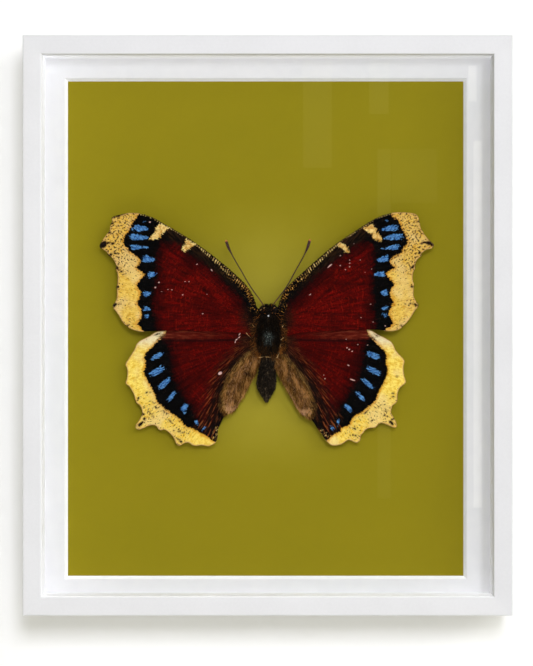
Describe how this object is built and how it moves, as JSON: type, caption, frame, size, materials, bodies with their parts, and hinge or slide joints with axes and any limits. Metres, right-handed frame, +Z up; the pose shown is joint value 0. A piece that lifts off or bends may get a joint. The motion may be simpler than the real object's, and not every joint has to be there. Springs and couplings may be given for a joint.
{
  "type": "framed butterfly specimen",
  "caption": "Dark red butterfly with yellow wing margins, pinned wings spread on an olive ground behind glass, in a white mat and a white shadow-box frame that hangs on a wall.",
  "frame": {"origin": "on the wall plane, where the wall hook meets the middle notch of the sawtooth hanger", "axes": "+Z up as it hangs, +Y into the wall, so the glass faces -Y, +X to the viewer's right"},
  "size_m": [0.1238, 0.022, 0.1466],
  "materials": {
    "frame_paint": "white satin paint over wood",
    "glazing": "clear picture glass",
    "white_board": "smooth matt white paper board",
    "olive_card": "matt olive paper over foam-cored board",
    "brown_board": "raw brown fibreboard",
    "point_steel": "plain steel",
    "hanger_brass": "brass-plated pressed sheet",
    "wing_scales": "powdery dark red scales with black band, blue spots and yellow margin",
    "body_hair": "dense dark brown hair",
    "antenna_horn": "dark horn with fine rings",
    "pin_steel": "bright steel"
  },
  "bodies": {
    "root": {"frame_rail_left": "frame_paint", "frame_rail_right": "frame_paint", "frame_rail_top": "frame_paint", "frame_rail_bottom": "frame_paint", "glass_pane": "glazing", "spacer_left": "white_board", "spacer_right": "white_board", "spacer_top": "white_board", "spacer_bottom": "white_board", "mat_board": "white_board", "ground_board": "olive_card", "backing_board": "brown_board", "point_left_1": "point_steel", "point_left_2": "point_steel", "point_right_1": "point_steel", "point_right_2": "point_steel", "point_top_1": "point_steel", "point_top_2": "point_steel", "point_bottom_1": "point_steel", "point_bottom_2": "point_steel", "sawtooth_hanger": "hanger_brass", "hanger_nail_1": "point_steel", "hanger_nail_2": "point_steel", "forewing_left": "wing_scales", "forewing_right": "wing_scales", "hindwing_left": "wing_scales", "hindwing_right": "wing_scales", "body": "body_hair", "antenna_left": "antenna_horn", "antenna_right": "antenna_horn", "mount_pin": "pin_steel"}
  },
  "joints": []
}
